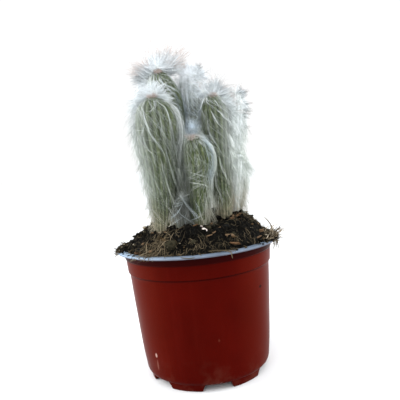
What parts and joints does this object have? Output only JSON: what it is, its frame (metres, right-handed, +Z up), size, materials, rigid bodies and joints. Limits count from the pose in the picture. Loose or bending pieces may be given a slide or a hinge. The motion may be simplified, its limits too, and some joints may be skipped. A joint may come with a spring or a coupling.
{
  "type": "potted peruvian old man cactus",
  "caption": "Clump of upright woolly columnar cactus stems standing in dark potting mix in a round terracotta-red plastic nursery pot with a flat lip and short feet.",
  "frame": {"origin": "centre of the pot's base, on the surface it stands on", "axes": "+Z up along the pot and the stems, -Y towards the viewer, +X to the viewer's right"},
  "size_m": [0.13, 0.13, 0.2625],
  "materials": {
    "pot_plastic": "satin moulded terracotta-red plastic, the lip reading pale blue-grey",
    "potting_mix": "loose dark peat and bark mix",
    "skin": "waxy ribbed green skin under white hair",
    "young_skin": "fresh green ribbed skin under white hair",
    "wool": "long silky white hair",
    "perlite": "porous white grain",
    "bark": "rough bark splinter",
    "dry_straw": "dry tan plant fibre"
  },
  "bodies": {
    "root": {"pot": "pot_plastic", "soil": "potting_mix", "stem_front_left": "skin", "stem_front_small": "young_skin", "stem_right": "skin", "stem_back_right": "skin", "stem_low_right": "skin", "stem_back_left": "skin", "stem_back_centre": "skin", "pup_front": "young_skin", "crown_wool_front_left": "wool", "crown_wool_front_small": "wool", "crown_wool_right": "wool", "crown_wool_back_right": "wool", "crown_wool_low_right": "wool", "crown_wool_back_left": "wool", "crown_wool_back_centre": "wool", "crown_wool_pup_front": "wool", "perlite_grain_upper": "perlite", "perlite_grain_lower": "perlite", "peat_clump": "potting_mix", "bark_chip_left": "bark", "bark_chip_front": "bark", "bark_chip_right": "bark", "fibre_left": "dry_straw", "straw_over_lip": "dry_straw", "twig_right": "dry_straw"}
  },
  "joints": []
}
